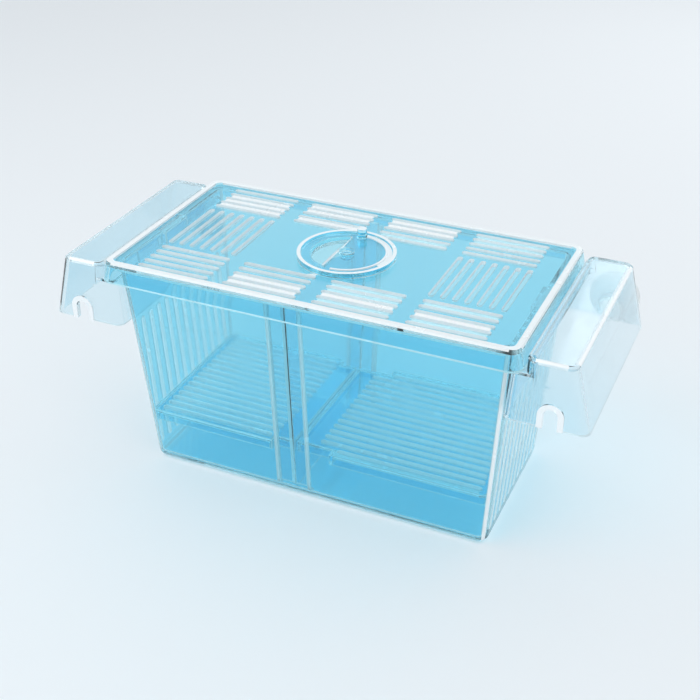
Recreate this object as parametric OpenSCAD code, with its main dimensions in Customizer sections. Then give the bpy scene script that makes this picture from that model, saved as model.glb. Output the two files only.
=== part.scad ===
// Floating breeding box for aquarium fish: a clear tapered tank with slotted ends, a slotted
// lid with a round feeding hatch, a divider, two slotted grid floors and two air floats.
// Origin: centre of the tank's underside. +X runs along the tank, +Y to the back, +Z up.

/* [Tank] */
// Outer length of the tank at its rim
tank_l = 196; // [176:1:216]
// Outer depth of the tank at its rim, front to back
tank_w = 100; // [98:1:112]
// Height of the tank
tank_h = 114; // [104:1:124]
// Thickness of the tank's walls
wall = 1.8; // [1.4:0.1:2.2]
// Thickness of the tank's bottom
base_t = 2; // [1.6:0.1:3]
// How far each wall leans out per millimetre of height
draft = 0.065; // [0.05:0.005:0.08]
// Radius of the tank's upright corners
tank_corner_r = 5; // [4:0.5:8]
// Radius of the edge round the tank's underside
base_edge_r = 3.5; // [2:0.5:5]
// How far the rim's flange stands out
rim_out = 2.4; // [2:0.1:3]
// Thickness of the rim's flange
rim_t = 1.6; // [1.2:0.1:2]

/* [End grilles] */
// Number of upright slots in each end wall
grille_slots = 11; // [8:1:11]
// Distance from the tank's outer edge to the middle of the outermost slot's lower end
grille_margin = 6; // [5.6:0.1:9]
// Width of an upright slot
grille_slot_w = 3; // [2:0.1:3.4]
// Height of the upright slots' lower ends above the table
grille_low = 7; // [6:0.5:12]
// Distance from the rim down to the upright slots' upper ends
grille_drop = 33; // [24:0.5:38]

/* [Divider] */
// Distance of the divider from the tank's middle, to the left
divider_left = 10.5; // [7:0.5:12]
// Thickness of the divider's sheet
divider_t = 1.6; // [1.2:0.1:2]
// Width of the flange along the divider's front and back edges
flange_w = 15; // [11:0.5:15]
// Thickness of that flange
flange_t = 1.6; // [1.2:0.1:2]
// Width of a guide rib on the tank's wall
guide_w = 1.4; // [1.2:0.1:1.6]
// How far a guide rib stands out of the wall
guide_out = 1.5; // [1.2:0.1:1.9]
// Gap between the divider's top edge and the head of the hatch's pivot above it
divider_top_gap = 1; // [0.5:0.1:2]

/* [Grid floors] */
// Height of the floors' upper side above the table
floor_z = 30; // [26:1:36]
// Thickness of a floor's plate
floor_t = 2; // [1.6:0.1:2.6]
// Depth of the skirt round a floor, with the plate
floor_skirt_h = 6; // [5:0.5:8]
// Thickness of that skirt
floor_skirt_t = 1.5; // [1.2:0.1:2]
// Number of lengthwise slots in a floor
floor_slots = 16; // [12:1:16]
// Distance between the lengthwise slots
floor_pitch = 5; // [4:0.1:5]
// Width of a lengthwise slot
floor_slot_w = 2.4; // [1.8:0.1:2.6]
// Plain margin at the slots' ends beside the tank's end wall
floor_margin = 4.5; // [4:0.5:8]
// Plain margin at the slots' ends beside the divider
floor_head = 10.5; // [8:0.5:12]
// Length of the left floor's cut-outs, from the middle of the divider, round its flange and the guide ribs
left_notch_l = 11; // [11:0.1:13]
// Length of the right floor's cut-outs
right_notch_l = 20; // [14:0.5:22]
// Depth of the cut-outs
floor_notch_d = 5.4; // [5.2:0.1:7]

/* [Lid] */
// Thickness of the lid's plate
lid_t = 2; // [1.6:0.1:2.6]
// Thickness of the lid's skirt
lid_wall = 1.8; // [1.4:0.1:2.2]
// Height of the lid's skirt, with the plate
skirt_h = 9; // [8:0.5:9.5]
// How far the skirt leans out per millimetre of height
skirt_draft = 0.22; // [0.16:0.01:0.26]
// Radius of the lid's corners at the plate
lid_corner_r = 4.5; // [3.5:0.5:8]
// Width of the raised border round the lid
border_w = 3; // [2.4:0.1:3.6]
// Height of that border
border_h = 1; // [0.6:0.1:1.4]
// Plain margin beside the end panels of slots
lid_side_margin = 16; // [14:0.5:19]
// Distance from the lid's edge to the middle of the outermost slot
lid_row_margin = 6.8; // [6.2:0.1:8]
// Width of the plain strips between the slot panels
lid_strip = 8; // [6:0.5:10]
// Number of slots in each front and back panel
row_slots = 5; // [3:1:5]
// Distance between those slots
row_pitch = 5.3; // [4.6:0.1:5.3]
// Number of slots in each end panel
end_slots = 7; // [4:1:7]
// Width of every slot in the lid
lid_slot_w = 2.6; // [1.8:0.1:2.8]

/* [Feeding hatch] */
// Outer radius of the ring that holds the hatch
ring_r = 24; // [22:0.5:24]
// Thickness of that ring
ring_t = 1.8; // [1.4:0.1:2.4]
// Height of the ring above the lid's plate
ring_h = 2.6; // [2.2:0.1:3.4]
// Thickness of the hatch's disc
disc_t = 1.6; // [1.2:0.1:2]
// Radius of the curved side of the feeding opening
moon_r = 17; // [14:0.5:17]
// Distance from the hatch's centre to the straight side of the opening
moon_edge = 4.4; // [4.4:0.1:6]
// Radius of the hatch's pivot
pivot_r = 2.5; // [2:0.1:2.8]
// Radius of the pivot's snap head
pivot_head_r = 3.7; // [3.4:0.1:4]
// Thickness of the pivot's snap head
pivot_head_t = 1.5; // [1.2:0.1:1.8]
// Radius of the finger knob
knob_r = 2.7; // [2:0.1:3]
// Height of the finger knob above the disc
knob_h = 4.6; // [3:0.2:6]

/* [Floats] */
// Height of a float
float_h = 32; // [29:1:34]
// How far a float's top reaches beyond the lid's skirt
float_reach = 22; // [18:1:28]
// How much further it reaches at its lower edge
float_flare = 8; // [4:0.5:10]
// How far a float's top reaches past the tank's rim at the front and at the back
float_side_out = 2.5; // [0.5:0.1:4]
// How much wider a float gets on each side towards its lower edge
float_spread = 0.8; // [0:0.1:2]
// Thickness of a float's walls
float_wall = 1.8; // [1.4:0.1:2.2]
// Radius of a float's upright corners
float_corner_r = 4; // [3:0.5:5]
// Width of the hook that reaches over the tank's rim
hook_w = 20; // [14:1:24]
// Thickness of the hook
hook_t = 1.4; // [1.1:0.1:1.6]
// How far the hook reaches down inside the tank
hook_drop = 10; // [7:0.5:10.5]
// Length of each lug under the rim's flange
lug_l = 18; // [12:1:20]
// Width of the notch for a suction cup's neck
neck_slot_w = 6.6; // [6:0.1:7.4]
// Height of that notch
neck_slot_h = 10; // [9:0.5:12]
// Width of the raised collar round the notch
collar_w = 2.6; // [2:0.1:3.4]
// Height of that collar
collar_out = 0.8; // [0.5:0.1:1.2]
// Place of the notch along the float, as a share of its length
neck_place = 0.56; // [0.5:0.01:0.62]

/* [Suction cups] */
// Radius of a suction cup's face
cup_r = 12.5; // [10:0.5:14]
// Depth of a suction cup in front of the float
cup_depth = 10; // [8:0.5:12]
// Radius of a suction cup's neck
neck_r = 3; // [2.6:0.1:3]
// Radius of the button that holds the neck
button_r = 4.6; // [4.2:0.1:5.2]
// Thickness of that button
button_t = 2; // [1.6:0.1:2.6]
// Thickness of a suction cup's lip
lip_t = 0.8; // [0.6:0.1:1.2]
// Thickness of a suction cup behind the middle of its hollow
cup_web = 4.2; // [3.6:0.1:5]

/* [Fits] */
// Gap between parts that seat in each other
fit_gap = 0.3; // [0.25:0.05:0.4]
// Gap between the lid's plate and the tank's rim
seat_gap = 0.2; // [0.1:0.05:0.3]
// Radial clearance of the hatch's pivot in its bore
pivot_gap = 0.06; // [0.03:0.01:0.09]

/* [Hidden] */
$fn = 48;
// Segments of the circles inside a hull
hull_fn = 32;
// Thickness of the outlines that a hull joins
skin = 0.01;
// How far a cut runs past the face that it opens
over = 1;
// How far below the rim the guide ribs end
guide_drop = 4;
// How far the rim's flange runs into the tank's wall from inside
rim_bite = 0.4;
// Gap on each side of a float's hook in its notch in the rim
hook_side_gap = 0.6;
// Distance from the hook to each lug under the rim's flange
lug_gap = 4;
// Gap between the lid's skirt and the shelf of a float under it
shelf_gap = 0.8;
// Gap between the lid's skirt and the upright side of a float
float_gap = 0.6;
// How far a float's top lies below the lid's plate
float_drop = 2;
// Width and height of the bevel round a float's top
float_edge = 1;
// Least width of the plastic between a floor's cut-out and its outermost slots
notch_rib = 1;
// Plain strip between the slots of an end panel and the last row slot
end_slot_gap = 4;
// How far the raised border's outside leans in per millimetre of height
border_lean = 0.5;
// Distance from the disc's edge to the raised rib on it
rib_inset = 2.2;
// Width of that rib
rib_w = 1;
// Height of that rib above the disc
rib_h = 0.6;
// Distance from the disc's edge to the finger knob
knob_inset = 0.6;
// Radius of the knob's top as a share of its foot
knob_taper = 0.85;
// Height of the round boss over the pivot
hub_h = 0.8;
// How far the hatch's opening is wider than the lid's
moon_step = 0.6;
// Width of the shoulder round a suction cup's neck
shoulder_w = 1.6;
// Height of that shoulder
shoulder_h = 1;
// Bevel round the button of a suction cup
button_edge = 0.6;

clear_blue = [0.72, 0.9, 0.98, 0.5];
clear_ice = [0.85, 0.95, 1, 0.55];
clear_soft = [0.88, 0.92, 0.92, 0.7];

// The tank's outer half length and half depth at a height, and the same inside its walls
function outer_x(z) = tank_l / 2 - draft * (tank_h - z);
function outer_y(z) = tank_w / 2 - draft * (tank_h - z);
function inner_x(z) = outer_x(z) - wall;
function inner_y(z) = outer_y(z) - wall;

// The divider and its guide, under the head of the hatch's pivot
head_low = tank_h - pivot_head_t;
divider_top = head_low - divider_top_gap;
divider_low = base_t + fit_gap;
flange_low = base_t + base_edge_r + fit_gap;
guide_x = flange_w / 2 + fit_gap;
guide_top = tank_h - guide_drop;

// The upright slots stand between the corners of the end walls
grille_half = outer_y(grille_low) - grille_margin;
grille_pitch = 2 * grille_half / (grille_slots - 1);

// The grid floors
floor_low = floor_z - floor_skirt_h;
floor_end = inner_x(floor_z) - fit_gap;
floor_start = divider_t / 2 + fit_gap;
floor_notch_y = inner_y(floor_z) - floor_notch_d;

// The lid, which stands clear of the rim's flange all round
lid_z = tank_h + seat_gap;
lid_top = lid_z + lid_t;
lid_side = rim_out + fit_gap + lid_wall;
lid_half_l = tank_l / 2 + lid_side;
lid_half_w = tank_w / 2 + lid_side;
lid_low = lid_top - skirt_h;
skirt_end_x = lid_half_l + skirt_draft * skirt_h;
skirt_inset = lid_wall - skirt_draft * lid_t;
panel_l = (2 * (lid_half_l - lid_side_margin) - 3 * lid_strip) / 4;
row_y = lid_half_w - lid_row_margin;
end_slot_l = 2 * (row_y - (row_slots - 1) * row_pitch - lid_slot_w / 2 - end_slot_gap);
end_panel_x = lid_strip + panel_l * 1.5 + lid_strip / 2;
end_pitch = (panel_l - lid_slot_w) / (end_slots - 1);

// The feeding hatch
disc_z = lid_top + seat_gap;
disc_r = ring_r - ring_t - fit_gap;
rib_r = disc_r - rib_inset;
knob_y = disc_r - knob_r - knob_inset;

// The floats, from the shelf under the lid's skirt to the closed top
float_half_w = tank_w / 2 + float_side_out;
float_top = lid_top - float_drop;
float_low = float_top - float_h;
shelf_z = lid_low - shelf_gap;
float_in = skirt_end_x + float_gap;
float_out = float_in + float_reach;
hook_top = tank_h - seat_gap;
rim_notch_z = tank_h - hook_t - 2 * seat_gap;
lug_y = hook_w / 2 + lug_gap;

// The place of a suction cup's neck
neck_from = outer_x(float_low) + fit_gap;
neck_x = neck_from + neck_place * (float_out + float_flare - neck_from);
neck_z = float_low + neck_slot_h - neck_slot_w / 2;
neck_wall_y = float_half_w + float_spread * (float_top - neck_z) / float_h;

function float_end(z) = float_out + float_flare * (float_top - z) / float_h;
function float_side(z) = float_half_w + float_spread * (float_top - z) / float_h;

// A flat outline with round corners, from x0 to x1 and the same to each side of the X axis
module rounded_outline(x0, x1, half_w, r) {
    translate([x0 + r, -half_w]) square([x1 - x0 - 2 * r, 2 * half_w]);
    translate([x0, -half_w + r]) square([x1 - x0, 2 * (half_w - r)]);
    for (x = [x0 + r, x1 - r], y = [-half_w + r, half_w - r]) translate([x, y]) circle(r);
}

// A thin slice of that outline at a height, for a hull to join to the next
module slice(z, x0, x1, half_w, r) {
    translate([0, 0, z]) linear_extrude(skin) rounded_outline(x0, x1, half_w, r, $fn = hull_fn);
}

// A block whose four sides lean out by lean per millimetre, with conical corners
module leaning_block(half_l, half_w, r, lean, h) {
    grow = lean * h;
    for (x = [-1, 1], y = [-1, 1])
        translate([x * (half_l - r), y * (half_w - r), 0]) cylinder(h = h, r1 = r, r2 = r + grow);
    rotate([90, 0, 90]) linear_extrude(2 * (half_l - r), center = true)
        polygon([[-half_w, 0], [half_w, 0], [half_w + grow, h], [-half_w - grow, h]]);
    rotate([90, 0, 0]) linear_extrude(2 * (half_w - r), center = true)
        polygon([[-half_l, 0], [half_l, 0], [half_l + grow, h], [-half_l - grow, h]]);
}

// A slot with round ends along X, centred on the origin
module long_slot(l, w) {
    square([l - w, w], center = true);
    for (x = [-1, 1]) translate([x * (l - w) / 2, 0]) circle(d = w);
}

// The tank's outside, or with an inset the space inside its walls
module tank_form(inset, low, high) {
    edge = base_edge_r;
    hull() {
        for (a = [0, 22.5, 45, 67.5, 90]) {
            z = low + edge * (1 - cos(a));
            in = inset + edge * (1 - sin(a));
            slice(z, -outer_x(z) + in, outer_x(z) - in, outer_y(z) - in, tank_corner_r - inset);
        }
        slice(high - skin, -outer_x(high) + inset, outer_x(high) - inset, outer_y(high) - inset,
            tank_corner_r - inset);
    }
}

// The flange round the rim, notched at each end for a float's hook
module rim_flange() {
    half_l = tank_l / 2 + rim_out;
    half_w = tank_w / 2 + rim_out;
    hole_l = inner_x(tank_h) + rim_bite;
    hole_w = inner_y(tank_h) + rim_bite;
    translate([0, 0, tank_h - rim_t]) linear_extrude(rim_t) difference() {
        rounded_outline(-half_l, half_l, half_w, tank_corner_r + rim_out);
        rounded_outline(-hole_l, hole_l, hole_w, tank_corner_r - wall);
    }
}

// The upright slots of both end walls
module grille_cuts() {
    top = tank_h - grille_drop;
    reach = tank_l + 2 * over;
    for (i = [0 : grille_slots - 1])
        translate([-reach / 2, i * grille_pitch - grille_half, (grille_low + top) / 2])
            rotate([90, 90, 90]) linear_extrude(reach) long_slot(top - grille_low, grille_slot_w);
}

// One pair of ribs on the front or back wall, on each side of the divider's flange
module guide_ribs(side) {
    bite = wall / 2;
    low = base_t + base_edge_r;
    for (x = [-guide_x - guide_w, guide_x])
        translate([x - divider_left, 0, 0]) rotate([90, 0, 90]) linear_extrude(guide_w) polygon([
            [side * (inner_y(base_t) - base_edge_r - guide_out), base_t - bite],
            [side * (inner_y(low) - guide_out), low],
            [side * (inner_y(guide_top) - guide_out), guide_top],
            [side * (inner_y(guide_top) + bite), guide_top],
            [side * (inner_y(low) + bite), low],
            [side * (inner_y(base_t) - base_edge_r), base_t - bite],
        ]);
}

// The notches in the rim of both end walls, through which the floats' hooks pass
module rim_notches() {
    deep = tank_h - rim_notch_z;
    for (x = [-1, 1])
        translate([x * tank_l / 2, 0, rim_notch_z + deep])
            cube([4 * (wall + rim_out), hook_w + 2 * hook_side_gap, 2 * deep], center = true);
}

module tank() {
    color(clear_blue) {
        difference() {
            union() {
                difference() {
                    tank_form(0, 0, tank_h);
                    tank_form(wall, base_t, tank_h + over);
                }
                rim_flange();
            }
            grille_cuts();
            rim_notches();
        }
        for (side = [-1, 1]) guide_ribs(side);
    }
}

// The slots of one long side of the lid: four panels with plain strips between them
module lid_row(side) {
    for (p = [-1.5 : 1 : 1.5], i = [0 : row_slots - 1])
        translate([p * (panel_l + lid_strip), side * (row_y - i * row_pitch), 0])
            long_slot(panel_l, lid_slot_w);
}

// The slots of one end panel, which run from front to back
module lid_end_panel(side) {
    for (i = [0 : end_slots - 1])
        translate([side * (end_panel_x + (i - (end_slots - 1) / 2) * end_pitch), 0, 0])
            rotate([0, 0, 90]) long_slot(end_slot_l, lid_slot_w);
}

// The half-moon through which food is dropped, on the left of the hatch's centre
module moon(r, edge) {
    intersection() {
        circle(r);
        translate([-2 * r - edge, -r]) square([2 * r, 2 * r]);
    }
}

module lid() {
    color(clear_ice) difference() {
        union() {
            translate([0, 0, lid_top]) mirror([0, 0, 1])
                leaning_block(lid_half_l, lid_half_w, lid_corner_r, skirt_draft, skirt_h);
            translate([0, 0, lid_top])
                leaning_block(lid_half_l, lid_half_w, lid_corner_r, -border_lean, border_h);
            translate([0, 0, lid_top - lid_t / 2]) cylinder(h = ring_h + lid_t / 2, r = ring_r);
        }
        translate([0, 0, lid_z]) mirror([0, 0, 1])
            leaning_block(lid_half_l - skirt_inset, lid_half_w - skirt_inset, lid_corner_r - lid_wall / 2,
                skirt_draft, skirt_h);
        translate([0, 0, lid_top]) difference() {
            linear_extrude(border_h + over)
                rounded_outline(-lid_half_l + border_w, lid_half_l - border_w, lid_half_w - border_w,
                    lid_corner_r - border_w / 2);
            cylinder(h = 2 * ring_h, r = ring_r);
        }
        translate([0, 0, lid_top]) cylinder(h = ring_h + over, r = ring_r - ring_t);
        translate([0, 0, lid_z - over]) cylinder(h = lid_t + 2 * over, r = pivot_r + pivot_gap);
        translate([0, 0, lid_z - over]) linear_extrude(lid_t + 2 * over) {
            for (side = [-1, 1]) lid_row(side);
            for (side = [-1, 1]) lid_end_panel(side);
            moon(moon_r, moon_edge);
        }
    }
}

// The disc turns in the lid's ring. It stands open, as its half-moon lies over the lid's.
module feeding_hatch() {
    color(clear_ice) {
        difference() {
            union() {
                translate([0, 0, disc_z]) cylinder(h = disc_t, r = disc_r);
                translate([0, 0, disc_z + disc_t / 2]) linear_extrude(disc_t / 2 + rib_h)
                    difference() {
                        circle(rib_r);
                        circle(rib_r - rib_w);
                        translate([-2 * rib_r, -rib_r]) square([2 * rib_r, 2 * rib_r]);
                    }
                translate([0, knob_y, disc_z + disc_t / 2])
                    cylinder(h = disc_t / 2 + knob_h, r1 = knob_r, r2 = knob_r * knob_taper);
                translate([0, 0, disc_z]) cylinder(h = disc_t + hub_h, r = pivot_head_r);
                translate([0, 0, head_low]) cylinder(h = disc_z - head_low + disc_t / 2, r = pivot_r);
                translate([0, 0, head_low])
                    cylinder(h = pivot_head_t, r1 = pivot_r, r2 = pivot_head_r);
            }
            translate([0, 0, disc_z - over]) linear_extrude(disc_t + 2 * over)
                moon(moon_r + moon_step, moon_edge);
        }
    }
}

// The sheet stands across the tank. A flange along its front and back edges keeps it upright.
module centre_divider() {
    color(clear_blue) translate([-divider_left, 0, 0]) {
        rotate([90, 0, 90]) linear_extrude(divider_t, center = true) polygon([
            [-inner_y(base_t) + base_edge_r + fit_gap, divider_low],
            [inner_y(base_t) - base_edge_r - fit_gap, divider_low],
            [inner_y(flange_low) - fit_gap, flange_low],
            [inner_y(divider_top) - fit_gap, divider_top],
            [-inner_y(divider_top) + fit_gap, divider_top],
            [-inner_y(flange_low) + fit_gap, flange_low],
        ]);
        for (side = [-1, 1])
            rotate([90, 0, 90]) linear_extrude(flange_w, center = true) polygon([
                [side * (inner_y(flange_low) - fit_gap), flange_low],
                [side * (inner_y(divider_top) - fit_gap), divider_top],
                [side * (inner_y(divider_top) - fit_gap - flange_t), divider_top],
                [side * (inner_y(flange_low) - fit_gap - flange_t), flange_low],
            ]);
    }
}

// A floor's outer form below a height, or with an inset the pocket inside its skirt. The divider
// stands at mid, and the cut-outs end notch_l beyond it.
module floor_form(mid, notch_l, inset, high) {
    low = floor_low - (inset > 0 ? over : 0);
    half_l = inner_x(low) - fit_gap - inset;
    half_w = inner_y(low) - fit_gap - inset;
    start = mid + floor_start + inset;
    notch_y = floor_notch_y - inset;
    difference() {
        translate([0, 0, low])
            leaning_block(half_l, half_w, tank_corner_r - wall - inset / 2, draft, high - low);
        translate([start - 2 * tank_l, -tank_w, low - over]) cube([2 * tank_l, 2 * tank_w, tank_h]);
        for (y = [notch_y, -notch_y - tank_w])
            translate([mid, y, low - over]) cube([notch_l + inset, tank_w, tank_h]);
    }
}

// A floor to the right of a divider at mid. The slots that lie beside the cut-outs start after them.
module floor_grid(mid, notch_l) {
    slot_to = floor_end - floor_margin;
    beside = floor_notch_y - floor_skirt_t - notch_rib - floor_slot_w / 2;
    difference() {
        floor_form(mid, notch_l, 0, floor_z);
        floor_form(mid, notch_l, floor_skirt_t, floor_z - floor_t);
        translate([0, 0, floor_low - over]) linear_extrude(floor_skirt_h + 2 * over)
            for (i = [0 : floor_slots - 1]) {
                y = (i - (floor_slots - 1) / 2) * floor_pitch;
                head = floor_start + floor_head;
                from = mid + (abs(y) > beside ? max(head, notch_l + floor_skirt_t + notch_rib) : head);
                translate([(from + slot_to) / 2, y]) long_slot(slot_to - from, floor_slot_w);
            }
    }
}

module right_floor_grid() {
    color(clear_ice) floor_grid(-divider_left, right_notch_l);
}

module left_floor_grid() {
    color(clear_ice) rotate([0, 0, 180]) floor_grid(divider_left, left_notch_l);
}

// A float's outside, or with an inset the air space inside its walls
module float_form(inset) {
    r = float_corner_r - inset / 2;
    low = float_low - (inset > 0 ? over : 0);
    shelf = shelf_z - inset;
    foot = shelf - 2 * float_wall;
    top = float_top - inset;
    brow = top - float_edge;
    bevel = inset + float_edge;
    hull() {
        slice(low, outer_x(low) + fit_gap + inset, float_end(low) - inset, float_side(low) - inset, r);
        slice(shelf - skin, outer_x(shelf) + fit_gap + inset, float_end(shelf) - inset,
            float_side(shelf) - inset, r);
    }
    hull() {
        slice(foot, float_in + inset, float_end(foot) - inset, float_side(foot) - inset, r);
        slice(brow, float_in + inset, float_end(brow) - inset, float_side(brow) - inset, r);
        slice(top - skin, float_in + bevel, float_end(top) - bevel, float_side(top) - bevel,
            r - float_edge);
    }
}

// The hook over the rim and the two lugs under the rim's flange
module float_hook() {
    from = shelf_z - float_wall / 2;
    inside = tank_h - hook_drop;
    rotate([90, 0, 0]) linear_extrude(hook_w, center = true) polygon([
        [outer_x(from) + fit_gap, from],
        [outer_x(rim_notch_z + seat_gap) + fit_gap, rim_notch_z + seat_gap],
        [inner_x(rim_notch_z + seat_gap) - fit_gap, rim_notch_z + seat_gap],
        [inner_x(inside) - fit_gap, inside],
        [inner_x(inside) - fit_gap - hook_t, inside],
        [inner_x(hook_top) - fit_gap - hook_t, hook_top],
        [outer_x(hook_top) + fit_gap + hook_t, hook_top],
        [outer_x(from) + fit_gap + hook_t, from],
    ]);
    lug_top = tank_h - rim_t - seat_gap;
    for (side = [-1, 1])
        translate([0, side * (lug_y + lug_l / 2), 0]) rotate([90, 0, 0])
            linear_extrude(lug_l, center = true) polygon([
                [outer_x(from) + fit_gap, from],
                [outer_x(lug_top) + fit_gap, lug_top],
                [outer_x(lug_top) + fit_gap + hook_t, lug_top],
                [outer_x(from) + fit_gap + hook_t, from],
            ]);
}

// The outline of the notch for a suction cup's neck, open at the float's lower edge
module neck_outline(half_w) {
    circle(half_w);
    translate([-half_w, -neck_slot_h]) square([2 * half_w, neck_slot_h]);
}

// The raised collars round the notches, cut level with the float's lower edge
module neck_collars() {
    deep = float_wall / 2 + collar_out;
    for (side = [-1, 1])
        intersection() {
            translate([neck_x, side * (neck_wall_y + collar_out - deep / 2), neck_z]) rotate([90, 0, 0])
                linear_extrude(deep, center = true) neck_outline(neck_slot_w / 2 + collar_w);
            translate([neck_x - float_reach, -tank_w, float_low])
                cube([2 * float_reach, 2 * tank_w, float_h]);
        }
}

// The right float. The left one is the same moulding turned by half a turn.
module side_float() {
    difference() {
        union() {
            difference() {
                float_form(0);
                float_form(float_wall);
            }
            neck_collars();
            float_hook();
        }
        translate([neck_x, 0, neck_z]) rotate([90, 0, 0])
            linear_extrude(2 * tank_w, center = true) neck_outline(neck_slot_w / 2);
    }
}

module right_float() {
    color(clear_blue) side_float();
}

module left_float() {
    color(clear_blue) rotate([0, 0, 180]) side_float();
}

// A suction cup: the button lies inside the float, the neck in its notch, the cup behind it
module suction_cup(side) {
    inside = float_wall + fit_gap;
    outside = collar_out + fit_gap;
    face = outside + cup_depth;
    hollow = cup_depth - cup_web;
    back = -inside - button_t;
    shoulder_r = neck_r + shoulder_w;
    bell_w = cup_r - shoulder_r;
    bell_h = cup_depth - shoulder_h - lip_t;
    bell = [for (a = [0 : 15 : 90])
        [shoulder_r + bell_w * sin(a), outside + shoulder_h + bell_h * (1 - cos(a))]];
    dish = [for (a = [90 : -15 : 0]) [(cup_r - lip_t) * sin(a), face - hollow * cos(a)]];
    color(clear_soft) translate([side * neck_x, neck_wall_y, neck_z]) rotate([-90, 0, 0])
        rotate_extrude() polygon(concat(
            [[0, back], [button_r - button_edge, back], [button_r, back + button_edge],
                [button_r, -inside], [neck_r, -inside], [neck_r, outside], [shoulder_r, outside]],
            bell,
            [[cup_r, face]],
            dish
        ));
}

module right_suction_cup() {
    suction_cup(1);
}

module left_suction_cup() {
    suction_cup(-1);
}

tank();
lid();
feeding_hatch();
centre_divider();
left_floor_grid();
right_floor_grid();
left_float();
right_float();
left_suction_cup();
right_suction_cup();
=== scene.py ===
"""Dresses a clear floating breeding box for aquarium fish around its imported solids.

Every piece is a soft-edged moulding in tinted clear plastic. The file is laid out as an add-on and is run
as a script: main() calls one operator for each piece or group of like pieces, and one for the stage.
"""

import math

import bmesh
import bpy
from bpy.props import FloatProperty, FloatVectorProperty, IntProperty, PointerProperty
from mathutils import Matrix, Vector


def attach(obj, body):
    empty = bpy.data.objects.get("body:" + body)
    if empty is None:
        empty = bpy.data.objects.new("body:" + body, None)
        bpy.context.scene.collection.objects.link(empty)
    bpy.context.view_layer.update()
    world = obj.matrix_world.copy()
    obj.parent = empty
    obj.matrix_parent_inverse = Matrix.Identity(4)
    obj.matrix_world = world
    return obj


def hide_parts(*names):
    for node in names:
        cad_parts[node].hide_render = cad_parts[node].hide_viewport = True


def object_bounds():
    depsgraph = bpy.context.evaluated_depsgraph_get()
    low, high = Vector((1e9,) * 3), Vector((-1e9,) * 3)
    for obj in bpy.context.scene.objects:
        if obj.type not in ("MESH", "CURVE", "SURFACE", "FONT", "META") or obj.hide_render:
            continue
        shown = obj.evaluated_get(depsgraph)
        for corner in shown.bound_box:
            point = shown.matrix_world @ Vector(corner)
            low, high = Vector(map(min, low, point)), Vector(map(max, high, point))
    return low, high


bl_info = {
    "name": "Floating breeding box",
    "version": (1, 0, 0),
    "blender": (4, 5, 0),
    "location": "View3D > Sidebar > Breeding box",
    "description": "Builds a clear floating breeding box for aquarium fish",
    "category": "Add Mesh",
}

MM = 0.001
# Straight steps in a quarter of a round corner
CORNER_STEPS = 8
# Straight steps in the round edge of the tank's underside
BASE_STEPS = 6
# Straight steps in the round side of the feeding opening
MOON_STEPS = 36
# Angle at which two faces meet in an edge
SHARP_ANGLE = math.radians(30)
# Share of a narrow face's outline that has to be such an edge
SHARP_SHARE = 0.47
# Share of a wall's tint that each of its faces gives to the light of a lamp
SHADOW_SHARE = 0.28
# Length of the floor's sides
FLOOR_SIZE = 12
# Gap of air between the tank's underside and the floor
FLOOR_GAP = 0.4 * MM
# Least share of both sideways directions in the middle strips of a round corner, which are whitened as a
# painted highlight
CORNER_HIGHLIGHT_SHARE = 0.6
# Shares of the downward direction between which the strips of the lower edge are whitened as a painted
# highlight
UNDER_HIGHLIGHT_SHARES = (0.55, 0.85)
# Least share of a direction for a face to count as facing that way
FACING = 0.9
# Distance under which points fall together, and angle under which faces count as flat
MERGE = 0.001 * MM
FLAT_ANGLE = math.radians(0.3)
# Radius of a suction cup's rounded edges, and the angle in degrees from which an edge is rounded
CUP_EDGE = 0.25 * MM
CUP_ANGLE = 40
# How far a cut runs past the face that it opens
OVER = 1 * MM
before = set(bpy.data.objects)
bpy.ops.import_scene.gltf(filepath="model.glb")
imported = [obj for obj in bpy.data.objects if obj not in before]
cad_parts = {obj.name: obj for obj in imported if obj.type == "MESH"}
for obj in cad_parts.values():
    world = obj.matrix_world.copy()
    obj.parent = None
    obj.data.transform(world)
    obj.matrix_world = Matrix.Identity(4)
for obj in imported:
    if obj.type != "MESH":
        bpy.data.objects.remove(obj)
solid_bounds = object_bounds()


def millimetres(name, description, value):
    """A length property whose default is given in millimetres."""
    return FloatProperty(
        name=name,
        description=description,
        subtype="DISTANCE",
        unit="LENGTH",
        min=0,
        default=value * MM,
    )


class TankSizes(bpy.types.PropertyGroup):
    """Sizes of the tank, its rim and the upright slots in its end walls."""

    length: millimetres("Length", "Outer length at the rim", 196)
    depth: millimetres("Depth", "Outer depth at the rim", 100)
    height: millimetres("Height", "Height of the rim above the table", 114)
    wall: millimetres("Wall", "Thickness of the walls", 1.8)
    base: millimetres("Base", "Thickness of the bottom", 2)
    draft: FloatProperty(name="Draft", description="How far a wall leans out by its height", default=0.065)
    corner: millimetres("Corner", "Radius of the upright corners", 5)
    base_edge: millimetres("Base edge", "Radius of the edge round the underside", 3.5)
    rim_out: millimetres("Rim width", "How far the rim's flange stands out", 2.4)
    rim_thick: millimetres("Rim thickness", "Thickness of the rim's flange", 1.6)
    slots: IntProperty(name="Slots", description="Number of upright slots in an end wall", default=11)
    slot_width: millimetres("Slot width", "Width of an upright slot", 3)
    slot_low: millimetres("Slot foot", "Height of the slots' lower ends", 7)
    slot_drop: millimetres("Slot drop", "Distance from the rim to the slots' upper ends", 33)
    slot_margin: millimetres("Slot margin", "From the wall's edge to the outermost slot", 6)
    notch_width: millimetres("Notch width", "Width of a notch in the rim for a float's hook", 21.2)
    notch_depth: millimetres("Notch depth", "Depth of a notch in the rim", 1.8)
    divider_left: millimetres("Divider place", "Distance of the divider to the left of the middle", 10.5)
    rib_gap: millimetres("Guide rib place", "From the divider's middle to a guide rib", 7.8)
    rib_width: millimetres("Guide rib width", "Width of a guide rib", 1.4)
    rib_out: millimetres("Guide rib depth", "How far a guide rib stands out of the wall", 1.5)
    rib_drop: millimetres("Guide rib drop", "Distance from the rim to the ribs' upper ends", 4)


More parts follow.
